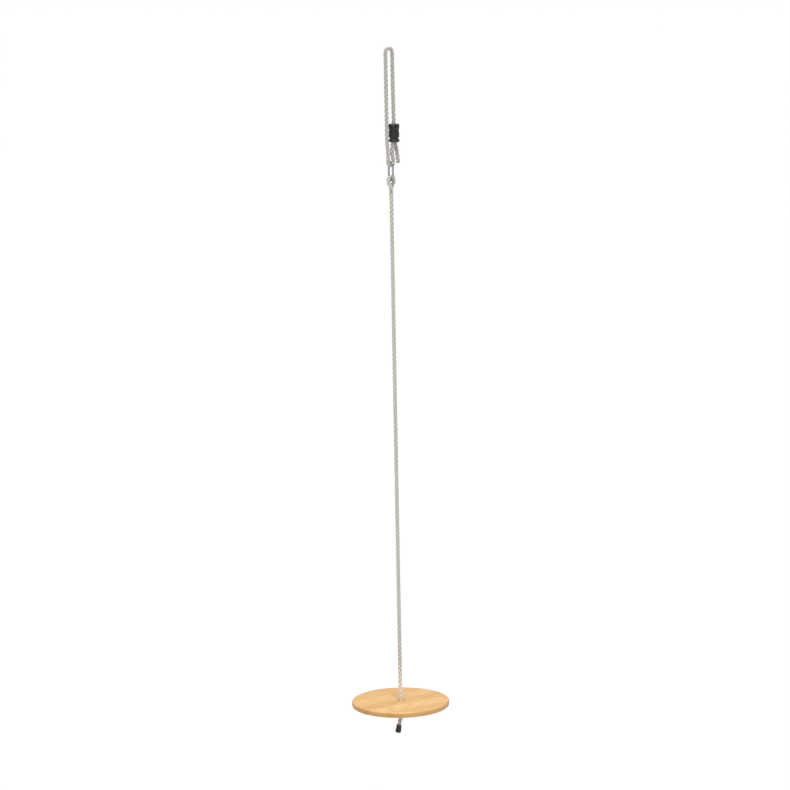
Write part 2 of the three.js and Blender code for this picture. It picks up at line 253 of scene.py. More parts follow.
def turned(profile, sides=96, closed=False):
    """Vertices and faces of a solid of revolution about Z from [radius, z] points.
    An open profile starts and ends on the axis; a closed one is a ring."""
    profile = np.asarray(profile, float)
    turn = 2 * np.pi * np.arange(sides) / sides
    ring = [np.stack([r * np.cos(turn), r * np.sin(turn), 0 * turn + z], 1) for r, z in profile]
    if closed:
        faces = list(grid_faces(len(ring), sides)) + [
            [(len(ring) - 1) * sides + j, (len(ring) - 1) * sides + (j + 1) % sides, (j + 1) % sides, j]
            for j in range(sides)
        ]
        return np.concatenate(ring), faces
    inner = ring[1:-1]
    faces = list(grid_faces(len(inner), sides))
    count = len(inner) * sides
    low, high = count, count + 1
    for j in range(sides):
        k = (j + 1) % sides
        faces.append([low, k, j])
        faces.append([high, count - sides + j, count - sides + k])
    ends = np.array([[0, 0, profile[0, 1]], [0, 0, profile[-1, 1]]])
    return np.concatenate([*inner, ends]), faces


def rounded(profile, radius, steps=4):
    """The profile with its corners rounded to about this radius."""
    p = np.asarray(profile, float)
    out = [p[0]]
    for a, b, c in zip(p[:-2], p[1:-1], p[2:]):
        u, v = a - b, c - b
        lu, lv = np.linalg.norm(u), np.linalg.norm(v)
        cut = min(radius, lu * 0.45, lv * 0.45)
        start, end = b + u / lu * cut, b + v / lv * cut
        for t in np.linspace(0, 1, steps + 1):
            out.append((1 - t) ** 2 * start + 2 * t * (1 - t) * b + t**2 * end)
    out.append(p[-1])
    return np.array(out)


def dense(profile, step):
    """The profile with extra points, at most this far apart."""
    p = np.asarray(profile, float)
    out = [p[0]]
    for a, b in zip(p[:-1], p[1:]):
        parts = max(1, int(math.ceil(np.linalg.norm(b - a) / step)))
        out += [a + (b - a) * k / parts for k in range(1, parts + 1)]
    return np.array(out)


def swept(line, radius, sides=28, normal=(0.0, 1.0, 0.0)):
    """Vertices and faces of a closed round bar along the line."""
    _, n, b = frames(line, normal)
    turn = 2 * np.pi * np.arange(sides) / sides
    radius = np.broadcast_to(np.asarray(radius, float), (len(line),))
    ring = line[:, None] + radius[:, None, None] * (
        n[:, None] * np.cos(turn)[None, :, None] + b[:, None] * np.sin(turn)[None, :, None]
    )
    faces = [list(f) for f in grid_faces(len(line), sides)]
    last = (len(line) - 1) * sides
    faces += [list(range(sides - 1, -1, -1)), list(range(last, last + sides))]
    return ring.reshape(-1, 3), faces


def box_shape(low, high):
    corners = [[x, y, z] for z in (low[2], high[2]) for y in (low[1], high[1]) for x in (low[0], high[0])]
    faces = [[0, 2, 3, 1], [4, 5, 7, 6], [0, 1, 5, 4], [2, 6, 7, 3], [0, 4, 6, 2], [1, 3, 7, 5]]
    return np.array(corners, float), faces


def prism(sides, radius, low, high, turn=0.0):
    """An upright prism about Z."""
    angles = 2 * np.pi * np.arange(sides) / sides + turn
    ring = np.stack([radius * np.cos(angles), radius * np.sin(angles)], 1)
    vertices = [[x, y, z] for z in (low, high) for x, y in ring]
    return np.array(vertices), [
        *grid_faces(2, sides),
        list(range(sides - 1, -1, -1)),
        list(range(sides, 2 * sides)),
    ]


def moved(shape, matrix):
    """A shape, as vertices and faces, moved by a matrix."""
    vertices, faces = shape
    m = np.array(matrix)
    return vertices @ m[:3, :3].T + m[:3, 3], faces


def carved(name, steps, material, voxel=None, keep=0.4, soften=3, sharp=None):
    """A piece cut from shapes in millimetres: steps are ("+", shape), ("-", shape) or ("*", shape), in order.
    With a voxel size in millimetres, the edges are moulded round; otherwise they stay as cut."""
    helpers = []
    for index, (_, (vertices, faces)) in enumerate(steps):
        helpers.append(mesh_object(f"{name}_step_{index}", np.asarray(vertices) * MM, faces))
        bm = bmesh.new()
        bm.from_mesh(helpers[-1].data)
        bmesh.ops.recalc_face_normals(bm, faces=bm.faces)
        bm.to_mesh(helpers[-1].data)
        bm.free()
    base = helpers[0]
    kinds = {"+": "UNION", "-": "DIFFERENCE", "*": "INTERSECT"}
    for (sign, _), helper in zip(steps[1:], helpers[1:]):
        modifier = base.modifiers.new("cut", "BOOLEAN")
        modifier.operation = kinds[sign]
        modifier.solver = "MANIFOLD"
        modifier.object = helper
    if voxel:
        remesh = base.modifiers.new("mould", "REMESH")
        remesh.mode = "VOXEL"
        remesh.voxel_size = voxel * MM
        smoothing = base.modifiers.new("soften", "SMOOTH")
        smoothing.factor = 0.5
        smoothing.iterations = soften
        thin = base.modifiers.new("thin", "DECIMATE")
        thin.ratio = keep
    bpy.context.view_layer.update()
    evaluated = base.evaluated_get(bpy.context.evaluated_depsgraph_get())
    mesh = bpy.data.meshes.new_from_object(evaluated)
    mesh.name = name
    for helper in helpers:
        old = helper.data
        bpy.data.objects.remove(helper)
        bpy.data.meshes.remove(old)
    mesh.shade_smooth()
    mesh.materials.clear()
    mesh.materials.append(material)
    piece = bpy.data.objects.new(name, mesh)
    scene.collection.objects.link(piece)
    if sharp is not None:
        crisp(piece, sharp)
    return piece


# ---------------------------------------------------------------- materials


class Nodes:
    """Short names for building a node material."""

    def __init__(self, name):
        self.material = bpy.data.materials.new(name)
        self.material.use_nodes = True
        self.tree = self.material.node_tree
        self.tree.nodes.clear()
        self.shader = self.make("ShaderNodeBsdfPrincipled")
        output = self.make("ShaderNodeOutputMaterial")
        self.tree.links.new(self.shader.outputs[0], output.inputs[0])

    def make(self, kind, **settings):
        node = self.tree.nodes.new(kind)
        for key, value in settings.items():
            setattr(node, key, value)
        return node

    def put(self, value, socket):
        if isinstance(value, bpy.types.NodeSocket):
            self.tree.links.new(value, socket)
        elif isinstance(value, (tuple, list)) and len(value) == 3 and socket.type == "RGBA":
            socket.default_value = (*value, 1.0)
        else:
            socket.default_value = value

    def math(self, operation, *values, clamp=False):
        node = self.make("ShaderNodeMath", operation=operation, use_clamp=clamp)
        for value, socket in zip(values, node.inputs):
            self.put(value, socket)
        return node.outputs[0]

    def length(self, a, b):
        squares = [self.math("MULTIPLY", x, x) for x in (a, b)]
        return self.math("SQRT", self.math("ADD", *squares))

    def coordinates(self, kind="Object"):
        return self.make("ShaderNodeTexCoord").outputs[kind]

    def stretched(self, vector, scale, offset=(0, 0, 0), turn=(0, 0, 0)):
        node = self.make("ShaderNodeMapping")
        self.put(vector, node.inputs["Vector"])
        node.inputs["Scale"].default_value = scale
        node.inputs["Location"].default_value = offset
        node.inputs["Rotation"].default_value = turn
        return node.outputs[0]

    def split(self, vector):
        node = self.make("ShaderNodeSeparateXYZ")
        self.put(vector, node.inputs[0])
        return node.outputs

    def noise(self, vector, scale, detail=3.0, roughness=0.5, distortion=0.0):
        node = self.make("ShaderNodeTexNoise")
        self.put(vector, node.inputs["Vector"])
        node.inputs["Scale"].default_value = scale
        node.inputs["Detail"].default_value = detail
        node.inputs["Roughness"].default_value = roughness
        node.inputs["Distortion"].default_value = distortion
        return node.outputs["Fac"]

    def span(self, value, low, high, to_low=0.0, to_high=1.0):
        node = self.make("ShaderNodeMapRange")
        self.put(value, node.inputs["Value"])
        for key, x in (("From Min", low), ("From Max", high), ("To Min", to_low), ("To Max", to_high)):
            node.inputs[key].default_value = x
        return node.outputs[0]

    def mix(self, factor, a, b, kind="MIX"):
        node = self.make("ShaderNodeMix", data_type="RGBA", blend_type=kind)
        self.put(factor, node.inputs["Factor"])
        self.put(a, node.inputs["A"])
        self.put(b, node.inputs["B"])
        return node.outputs["Result"]

    def bump(self, height, distance, strength=1.0, normal=None):
        node = self.make("ShaderNodeBump")
        self.put(height, node.inputs["Height"])
        node.inputs["Distance"].default_value = distance
        node.inputs["Strength"].default_value = strength
        if normal is not None:
            self.put(normal, node.inputs["Normal"])
        return node.outputs[0]

    def finish(self, **sockets):
        for name, value in sockets.items():
            self.put(value, self.shader.inputs[name.replace("_", " ")])
        return self.material


def hexa(code):
    """A colour written as on a paint chart, as linear values."""
    values = [int(code[i : i + 2], 16) / 255 for i in (0, 2, 4)]
    return tuple(v / 12.92 if v <= 0.04045 else ((v + 0.055) / 1.055) ** 2.4 for v in values)


# Between these heights the rope turns to the painted shade colour of the rope under the seat.
HOLE_FADE = (-2.0125, -2.002)  # the heights between which the rope's colour changes, inside the seat


def rope_material(name, warm, grey, cool_top, cool_bottom, under_seat_shade=None):
    """Laid synthetic hemp with soft yarns, lighter and warmer towards the bottom as painted bounce light from
    the seat, greyer towards the top as painted shade, with painted shade in the grooves and between the
    yarns. The last argument is the painted shade colour it turns to inside the seat's hole."""
    n = Nodes(name)
    where = n.coordinates()
    along = n.make("ShaderNodeUVMap", uv_map="along").outputs[0]
    u, v, _ = n.split(along)
    phase = n.math("MULTIPLY", n.math("ADD", v, n.math("DIVIDE", u, YARN_LAY)), float(YARNS))
    yarn = n.math("ABSOLUTE", n.math("SINE", n.math("MULTIPLY", phase, math.pi)))
    number = n.math("FLOOR", n.math("MODULO", n.math("ADD", phase, 900.0), float(YARNS)))
    tone = n.make("ShaderNodeTexWhiteNoise", noise_dimensions="1D")
    n.put(number, tone.inputs["W"])
    fibre_at = n.make("ShaderNodeCombineXYZ")
    n.put(n.math("MULTIPLY", u, 260.0), fibre_at.inputs[0])
    n.put(n.math("MULTIPLY", phase, 5.0), fibre_at.inputs[1])
    fibres = n.noise(fibre_at.outputs[0], 1.0, 3.0, 0.6)
    fluff = n.noise(where, 1500.0, 2.0, 0.6)
    height = n.math(
        "ADD",
        n.math("MULTIPLY", n.math("POWER", yarn, 0.6), 0.7),
        n.math("ADD", n.math("MULTIPLY", fibres, 0.35), n.math("MULTIPLY", fluff, 0.18)),
    )
    # Lighter and warmer low down, near the seat, as painted bounce light from the wood; greyer higher up as
    # painted shade.
    painted_light_fade = n.span(n.split(where)[2], cool_bottom, cool_top)
    patches = n.noise(where, 22.0, 3.0, 0.6)
    colour = n.mix(painted_light_fade, warm, grey)
    colour = n.mix(n.span(patches, 0.35, 0.75, 0.0, 0.35), colour, grey)
    # Inside the seat's hole the rope turns to the painted shade colour of the rope under the seat.
    if under_seat_shade:
        colour = n.mix(n.span(n.split(where)[2], *HOLE_FADE, 1.0, 0.0), colour, under_seat_shade)
    lift = n.span(tone.outputs["Value"], 0.0, 1.0, 0.0, 0.16)
    colour = n.mix(lift, colour, (0.30, 0.26, 0.20))
    colour = n.mix(n.span(fibres, 0.3, 0.8, 0.0, 0.16), colour, (0.98, 0.95, 0.88))
    # Painted shade in the gaps between the yarns.
    between = n.span(yarn, 0.0, 0.55, 0.35, 0.0)
    colour = n.mix(between, colour, (0.30, 0.26, 0.21))
    # Painted shade (baked occlusion) deep in the grooves between the strands.
    groove = n.make("ShaderNodeAttribute", attribute_name="groove").outputs["Fac"]
    colour = n.mix(n.span(groove, 0.45, 0.85, 0.75, 0.0), colour, (0.13, 0.115, 0.095))
    n.shader.inputs["Sheen Weight"].default_value = 0.3
    n.shader.inputs["Sheen Roughness"].default_value = 0.5
    n.shader.inputs["Specular IOR Level"].default_value = 0.3
    return n.finish(
        Base_Color=colour,
        Roughness=n.span(fibres, 0.3, 0.7, 0.72, 0.92),
        Normal=n.bump(height, 0.00045, 0.85),
    )


def plastic_material(name, base, pale, rough=0.5):
    """Moulded black plastic with a fine eroded texture, rubbed edges and dust on what faces up."""
    n = Nodes(name)
    where = n.coordinates()
    facing = n.split(n.coordinates("Normal"))[2]
    grain = n.noise(where, 2600.0, 2.0, 0.6)
    cloud = n.noise(where, 120.0, 4.0, 0.6)
    scuff = n.noise(n.stretched(where, (260.0, 260.0, 60.0)), 1.0, 5.0, 0.7)
    edge = n.span(n.make("ShaderNodeNewGeometry").outputs["Pointiness"], 0.52, 0.60)
    worn = n.math("MULTIPLY", edge, n.span(cloud, 0.35, 0.7), clamp=True)
    dust = n.math("MULTIPLY", n.span(facing, 0.2, 1.0), n.span(scuff, 0.35, 0.75), clamp=True)
    colour = n.mix(n.span(cloud, 0.3, 0.7, 0.0, 0.5), base, tuple(1.5 * x for x in base))
    colour = n.mix(n.math("MULTIPLY", worn, 0.6), colour, pale)
    colour = n.mix(n.math("MULTIPLY", dust, 0.28), colour, (0.34, 0.32, 0.29))
    colour = n.mix(n.span(scuff, 0.62, 0.72, 0.0, 0.18), colour, pale)
    uneven = n.span(cloud, 0.3, 0.7, rough - 0.06, rough + 0.08)
    roughness = n.math("ADD", uneven, n.math("MULTIPLY", dust, 0.25))
    height = n.math("ADD", n.math("MULTIPLY", grain, 0.5), n.math("MULTIPLY", scuff, 0.5))
    n.shader.inputs["Specular IOR Level"].default_value = 0.45
    return n.finish(Base_Color=colour, Roughness=roughness, Normal=n.bump(height, 0.00008, 0.6))


def metal_material(name, base, dull, rough, brushed=(900.0, 900.0, 900.0)):
    """Zinc-plated or plain steel: fine marks, dull patches and a little grime."""
    n = Nodes(name)
    where = n.coordinates()
    marks = n.noise(n.stretched(where, brushed), 1.0, 3.0, 0.65)
    cloud = n.noise(where, 190.0, 4.0, 0.6)
    spots = n.span(n.noise(where, 520.0, 3.0, 0.7), 0.62, 0.74)
    colour = n.mix(n.span(cloud, 0.35, 0.7), base, dull)
    colour = n.mix(n.math("MULTIPLY", spots, 0.35), colour, (0.22, 0.20, 0.18))
    roughness = n.math(
        "ADD", n.span(cloud, 0.3, 0.75, rough - 0.05, rough + 0.14), n.span(marks, 0.3, 0.7, -0.03, 0.05)
    )
    return n.finish(
        Base_Color=colour, Metallic=1.0, Roughness=roughness, Normal=n.bump(marks, 0.00003, 0.5)
    )


RING_WIDTH = 5.2 * MM  # of the tree's rings


def wood_material(name, tone, warmth, pith, tilt, seed):
    """Oiled and lacquered softwood, grain along X. pith is the (y, z) of the tree's middle from the stave's
    plane in metres, and tilt how it runs off the grain, which draws the long arches on the face."""
    n = Nodes(name)
    where = n.coordinates()
    x, y, z = n.split(where)
    wander = n.noise(n.stretched(where, (2.2, 9.0, 9.0), (seed, 0.3 * seed, 0.0)), 1.0, 2.0, 0.5)
    drift = n.span(wander, 0.0, 1.0, -0.016, 0.016)
    wavy = n.noise(n.stretched(where, (7.0, 60.0, 60.0), (0.0, seed, seed)), 1.0, 3.0, 0.55)
    ripple = n.span(wavy, 0.0, 1.0, -0.0022, 0.0022)
    dy = n.math("ADD", n.math("ADD", y, -pith[0]), n.math("ADD", n.math("MULTIPLY", x, tilt[0]), drift))
    dz = n.math("ADD", n.math("ADD", z, -pith[1] - SEAT_TOP * MM), n.math("MULTIPLY", x, tilt[1]))
    radius = n.math("ADD", n.length(dy, dz), ripple)
    ring = n.math("FRACT", n.math("DIVIDE", radius, RING_WIDTH))
    late = n.math("POWER", n.span(ring, 0.0, 0.86), 3.0)
    late = n.math("MULTIPLY", late, n.span(ring, 0.86, 1.0, 1.0, 0.0))
    fine = n.noise(n.stretched(where, (26.0, 900.0, 900.0), (seed, 0, 0)), 1.0, 4.0, 0.65)
    streak = n.noise(n.stretched(where, (3.0, 85.0, 85.0), (0, seed, 0)), 1.0, 4.0, 0.6)
    pitted = n.noise(n.stretched(where, (75.0, 2100.0, 2100.0), (0, 0, seed)), 1.0, 2.0, 0.5)
    pores = n.span(pitted, 0.66, 0.76)
    end_grain = n.span(n.math("ABSOLUTE", n.split(n.coordinates("Normal"))[0]), 0.35, 0.95)
    light = tuple(tone * c for c in (0.87, 0.565 * warmth, 0.245 * warmth**3))
    dark = tuple(tone * c for c in (0.67, 0.365 * warmth, 0.12 * warmth**3))
    brown = tuple(tone * c for c in (0.36, 0.17, 0.06))
    colour = n.mix(n.span(streak, 0.3, 0.72, 0.0, 0.55), light, dark)
    colour = n.mix(n.math("MULTIPLY", late, 0.5), colour, dark)
    colour = n.mix(n.span(fine, 0.45, 0.8, 0.0, 0.32), colour, brown)
    colour = n.mix(n.math("MULTIPLY", pores, 0.3), colour, brown)
    colour = n.mix(n.math("MULTIPLY", end_grain, 0.45), colour, brown)
    # Painted shade: the seat's sides, facing away from the light above, darkened towards brown.
    rim = n.span(n.split(n.coordinates("Normal"))[2], 0.15, 0.8, 0.3, 0.0)
    colour = n.mix(rim, colour, brown)
    by_hole = n.span(n.length(x, y), 0.010, 0.026, 1.0, 0.0)
    rubbed = n.math("MULTIPLY", by_hole, n.span(streak, 0.2, 0.7, 0.5, 1.0))
    colour = n.mix(n.math("MULTIPLY", rubbed, 0.10), colour, (0.20, 0.13, 0.07))
    scratched = n.noise(n.stretched(where, (38.0, 60.0, 60.0), (seed, seed, 0)), 1.0, 5.0, 0.7)
    scuffs = n.span(scratched, 0.62, 0.78)
    colour = n.mix(n.math("MULTIPLY", scuffs, 0.12), colour, (0.42, 0.30, 0.19))
    height = n.math(
        "SUBTRACT",
        n.math("ADD", n.math("MULTIPLY", fine, 0.5), n.math("MULTIPLY", late, 0.35)),
        n.math("MULTIPLY", pores, 0.5),
    )
    roughness = n.math("ADD", n.span(streak, 0.2, 0.8, 0.36, 0.5), n.math("MULTIPLY", scuffs, 0.15))
    n.shader.inputs["Coat Weight"].default_value = 0.15
    n.shader.inputs["Coat Roughness"].default_value = 0.3
    n.shader.inputs["Specular IOR Level"].default_value = 0.4
    return n.finish(Base_Color=colour, Roughness=roughness, Normal=n.bump(height, 0.0001, 0.5))


def melt_material(name):
    """Rope fibre melted and set hard, browned in patches."""
    n = Nodes(name)
    where = n.coordinates()
    cloud = n.noise(where, 420.0, 4.0, 0.65)
    colour = n.mix(n.span(cloud, 0.35, 0.68), (0.50, 0.44, 0.35), (0.24, 0.19, 0.13))
    return n.finish(
        Base_Color=colour,
        Roughness=n.span(cloud, 0.3, 0.7, 0.42, 0.7),
        Normal=n.bump(n.noise(where, 900.0, 3.0, 0.6), 0.0003, 0.7),
    )


# The seat's rope: lighter and warmer near the seat as painted bounce light, greyer above as painted shade,
# and inside the hole the painted shade colour of the rope under the seat.
ROPE = rope_material("laid_rope", hexa("fdf5ea"), hexa("cdc9c1"), -1.87, -1.97, under_seat_shade=hexa("b4b1aa"))
# The knot and tail under the seat: darker all over as the seat's painted shadow.
SHADED_ROPE = rope_material("seat_shaded_rope", hexa("b4b1aa"), hexa("b4b1aa"), 0.0, -0.4)
# The sling: greyer all over as painted shade from the frame it hangs on, which isn't built.
SLING = rope_material("frame_shaded_rope", hexa("c4c1b9"), hexa("bebbb3"), 0.0, -0.4)
PLASTIC = plastic_material("moulded_plastic", (0.0165, 0.0165, 0.016), (0.16, 0.16, 0.155))
RUBBER = plastic_material("soft_cap", (0.024, 0.0235, 0.023), (0.13, 0.13, 0.125), rough=0.6)
ZINC = metal_material("zinc_plated", (0.46, 0.46, 0.45), (0.27, 0.27, 0.265), 0.24)
MELT = melt_material("melted_end")
STEEL = metal_material("plain_steel", (0.52, 0.51, 0.50), (0.34, 0.335, 0.33), 0.34)

# ---------------------------------------------------------------- the seat's rope


def z_phase(z):
    """The angle of the first strand about the rope's upright axis at this height, so that pieces meet."""
    return 2 * math.pi * z / LAY


SEAT_ROPE_TOP = SPLICE_END * MM
SEAT_ROPE_END = -2013.5 * MM
# The rope starts a little way inside the splice, by one yarn, so that the yarns meet and no joint shows.
SPLICE_LAP = YARN_LAY / YARNS / math.hypot(1, 2 * math.pi * STRAND_OFFSET / LAY)
seat_line = resampled(np.array([[0, 0, SEAT_ROPE_TOP + SPLICE_LAP], [0, 0, SEAT_ROPE_END]]), RING_STEP)
LAP_SINK = 0.2 * MM  # how far the inner of two lapped ends lies under the outer
inside_splice = np.clip((seat_line[:, 2] - SEAT_ROPE_TOP) / SPLICE_LAP, 0, 1)
seat_rope = strand_tubes(
    "seat_rope_laid",
    laid_strands(seat_line, -z_phase(seat_line[0, 2])),
    [STRAND_R - LAP_SINK * inside_splice] * 3,
    [seat_line] * 3,
    ROPE,
)


def opened_trefoil(size, spacing, lead):
    """A loose overhand knot on a rope that comes straight down and leaves straight down."""
    t = np.linspace(math.pi + 0.33, 3 * math.pi - 0.33, 2000)
    along = np.sin(t) + 2 * np.sin(2 * t)
    loop = size * np.stack([np.cos(t) - 2 * np.cos(2 * t) + 3, -np.sin(3 * t), -along], 1)
    loop -= [loop[0, 0], loop[0, 1], loop[:, 2].max() + 10 * MM]
    fall = np.linspace(0, 1, 60, endpoint=False)[:, None]
    above = loop[0] + np.array([0, 0, 1.0]) * (lead - loop[0, 2]) * (1 - fall)
    below = loop[-1] - np.array([0, 0, 1.0]) * lead * (1 - fall[::-1])
    return resampled(np.concatenate([above, loop, below]), spacing)


def tightened(line, spacing, thickness, spare, upward, steps=250, passes=25):
    """Pulls a knotted line tight under a flat face at z = 0, through a hole on the Z axis, as beads that keep
    their spacing and can't come closer than the rope's thickness. spare is the length left in the knot."""
    p = line.copy()
    count = len(p)
    order = np.arange(count)
    i, j = np.triu_indices(count, 4)
    first, last = p[0].copy(), p[-1].copy()
    pull = spacing * (count - 1) - spare - (first[2] - last[2])
    for step in range(steps):
        share = (step + 1) / steps
        inwards = max(0.0, 1 - 2 * share)
        top = np.array([0, 0, first[2] + pull * share * upward])
        bottom = np.array([last[0] * inwards, last[1] * inwards, last[2] - pull * share * (1 - upward)])
        for _ in range(passes):
            apart = p[i] - p[j]
            gap = np.linalg.norm(apart, axis=1)
            hit = gap < thickness
            if hit.any():
                a, b = i[hit], j[hit]
                push = apart[hit] / gap[hit][:, None] * ((thickness - gap[hit]) * 0.5)[:, None]
                shift, touches = np.zeros_like(p), np.zeros(count)
                np.add.at(shift, a, push)
                np.add.at(shift, b, -push)
                np.add.at(touches, a, 1)
                np.add.at(touches, b, 1)
                p += shift / np.sqrt(np.maximum(touches, 1))[:, None]
            p[1:-1] += 0.03 * ((p[:-2] + p[2:]) / 2 - p[1:-1])
            out = np.hypot(p[:, 0], p[:, 1])
            p[(p[:, 2] > -1 * MM) & (order < count // 3), :2] = 0
            p[:, 2] = np.minimum(p[:, 2], np.where(out < 1.5 * MM, 9.0, -np.minimum(out, ROPE_R)))
            for start in (0, 1, 0, 1, 0, 1):
                a = np.arange(start, count - 1, 2)
                link = p[a + 1] - p[a]
                length = np.linalg.norm(link, axis=1)
                fix = link / length[:, None] * ((length - spacing) * 0.5)[:, None]
                p[a] += fix
                p[a + 1] -= fix
            body = (p[:, 2] < -4 * MM) & (order < count - 12)
            drift = p[body, :2].mean(0)
            held = np.clip(-p[:, 2] / (12 * MM), 0, 1) * np.minimum(1, (count - 1 - order) / 14)
            p[:, :2] -= 0.1 * drift * held[:, None]
            p[0], p[-1] = top, bottom
    return p


KNOT_BEAD = 4 * MM
KNOT_ENTRY = -9.5 * MM  # height under the face where the rope enters the tightened knot
UNDERSIDE = -2018.3
knot = tightened(opened_trefoil(7.5 * MM, KNOT_BEAD, 12 * MM), KNOT_BEAD, 11.3 * MM, 132 * MM, 0.85)
entry = int(np.argmax(knot[:, 2] < KNOT_ENTRY))
knot = (knot[entry:] - knot[entry]) / MM + [0, 0, UNDERSIDE - 1.0]
leaves = len(knot) - int(np.argmax(knot[::-1, 2] > UNDERSIDE - 33.0))
TAIL = [[-3.3, 2.1, -2068], [-4.4, 2.8, -2078], [-6.0, 3.9, -2087.5], [-7.3, 4.8, -2096]]
IN_HOLE = [[0, 0, (SEAT_ROPE_END + SPLICE_LAP) / MM], [0, 0, UNDERSIDE + 2.5]]
end_line = resampled(smooth(np.concatenate([IN_HOLE, knot[:leaves], TAIL])) * MM, 1.6 * MM)
inside_rope = np.clip((end_line[:, 2] - SEAT_ROPE_END) / SPLICE_LAP, 0, 1)
# Painted darker as the seat's shadow, through SHADED_ROPE.
end_knot = strand_tubes(
    "rope_end_knot",
    laid_strands(end_line, -z_phase(end_line[0, 2])),
    [STRAND_R - LAP_SINK * inside_rope] * 3,
    [end_line] * 3,
    SHADED_ROPE,
)

# The eye: up out of the splice, over the hook and back down, its legs crossing as they close. Then the
# strands of the down leg, tucked into the standing rope and thinned out.
EYE_LEG = [
    [8.8, 0.5, -395.5], [7.3, 2.8, -402], [4.7, 4.5, -408.5],
    [2.5, 3.6, -416], [1.0, 1.7, -426], [0.2, 0.3, -437],
]
EYE_DOWN = [[-8.8, -0.5, -395.5], [-7.3, -2.8, -402], [-5.0, -4.6, -408.5], [-3.7, -4.7, -414.5]]
eye_up = np.concatenate([[[0, 0, SPLICE_END], [0, 0, -470], [0, 0, -450]], EYE_LEG[::-1]])
eye_line = resampled(
    smooth(np.concatenate([eye_up, arc_xz(LOOP_R, HOOK_BOTTOM, 0, 180, 9), EYE_DOWN])) * MM, RING_STEP
)
eye_strands = laid_strands(eye_line, z_phase(SPLICE_END * MM))

TUCK_LAY = 52 * MM
TUCK_STEP = 1.5 * MM
UNLAYING = 0.16  # the share of the tucks over which the strands come apart
TUCK_START, TUCK_END = EYE_DOWN[-1][2] * MM, -474 * MM
TUCK_SIDE = math.atan2(EYE_DOWN[-1][1], EYE_DOWN[-1][0])
tuck_z = np.arange(TUCK_START - TUCK_STEP, TUCK_END, -TUCK_STEP)
done = (TUCK_START - tuck_z) / (TUCK_START - TUCK_END)
rising = eye_line[: int(np.argmax(eye_line[:, 2] > TUCK_START + 2 * MM))][::-1]
core = np.stack([np.interp(-tuck_z, -rising[:, 2], rising[:, axis]) for axis in (0, 1)] + [tuck_z], 1)
standing_angle = 2 * np.pi * tuck_z / LAY
tuck_radius = (2.45 - 1.25 * done**1.3) * MM
leaving = np.clip(1 - done / UNLAYING, 0, 1)  # 1 at the end of the leg, 0 round the standing rope
tuck_radius += (STRAND_R - tuck_radius) * leaving**2


def rounded_off(line, at, reach, passes=14):
    """The line with the corner at one point worked out over the points beside it."""
    p = line.copy()
    inner = np.arange(at - reach, at + reach + 1)
    for _ in range(passes):
        p[inner] = 0.5 * p[inner] + 0.25 * (p[inner - 1] + p[inner + 1])
    return p


def turned_from(point):
    """How far round the standing rope a strand's end lies, from the side the leg comes in on."""
    angle = math.atan2(point[1] - core[0][1], point[0] - core[0][0]) - TUCK_SIDE
    return (angle + math.pi) % (2 * math.pi) - math.pi


eye_ends = sorted(eye_strands, key=lambda strand: turned_from(strand[-1]))
splice_lines = []
for k, strand in zip((-1, 0, 1), eye_ends):
    angle = TUCK_SIDE - 2 * np.pi * (tuck_z - TUCK_START) / TUCK_LAY + 2 * np.pi * k / 3
    over = np.cos(1.5 * (angle - standing_angle))
    out = (4.3 - 1.3 * done) * MM + 0.9 * MM * (1 - 0.4 * done) * over
    path = core + np.stack([out * np.cos(angle), out * np.sin(angle), 0 * tuck_z], 1)
    path[:, :2] += (strand[-1][:2] - path[:, :2]) * leaving[:, None] ** 2
    splice_lines.append(rounded_off(np.concatenate([strand, path]), len(strand), 7))
eye = strand_tubes(
    "rope_eye_splice",
    splice_lines,
    [np.concatenate([np.full(len(eye_line), STRAND_R), tuck_radius])] * 3,
    [rounded_off(np.concatenate([eye_line, core]), len(eye_line), 12, 60)] * 3,
    ROPE,
)

# The black cap on the rope's cut end.
CAP_FOOT = Vector((-7.9, 5.2, -2103.6))
CAP_LEAN = Vector((-4.6, 3.0, -2078.1)) - CAP_FOOT
cap_matrix = Matrix.Translation(CAP_FOOT) @ CAP_LEAN.to_track_quat("Z", "Y").to_matrix().to_4x4()
cap_outside = rounded(
    [
        [0, 0], [7.7, 0], [8.9, 1.4], [8.9, 8.6], [8.3, 9.2], [8.3, 10.2],
        [8.6, 10.8], [7.7, 20.4], [7.9, 21], [7.9, 23], [7.2, 24], [0, 24],
    ],
    0.9,
)
cap_bore = [[0, 6], [6.45, 6], [6.45, 30], [0, 30]]
cap = carved(
    "rope_end_cap_moulded",
    [("+", moved(turned(cap_outside, 64), cap_matrix)), ("-", moved(turned(cap_bore, 48), cap_matrix))],
    RUBBER,
    sharp=38,
)

# ---------------------------------------------------------------- the sling

SLING_TAIL = [[26.5, 0, -338], [26, 0.4, -325], [24.2, 1.6, -309], [21.5, 2.8, -293], [19.3, 3.4, -280]]
SLING_IN_ADJUSTER = [
    [18.8, 3.45, -268], [18.7, 3.4, -255], [17.9, 2.9, -247],
    [16.1, 1.7, -239], [14.4, 0.6, -231], [13.5, 0, -222],
]
SLING_RIGHT = [[13.2, 0, -200], [12.5, 0, -120], [12, 0, -40], [12, 0, -16]]
SLING_LEFT = [
    [-12, 0, -16], [-12, 0, -40], [-12, 0, -120], [-12, 0, -200], [-12, 0, -262],
    [-11.3, 0, -280], [-9.8, 0, -297], [-8.9, 0, -312], [-9, 0, -324],
]
SLING_LEG = [
    [8, -0.3, -323], [5.4, -1.1, -312], [4.1, -2, -300], [4.9, -2.8, -289], [6.9, -3.3, -279],
    [8.1, -3.4, -269], [8.3, -3.4, -255.5],
]
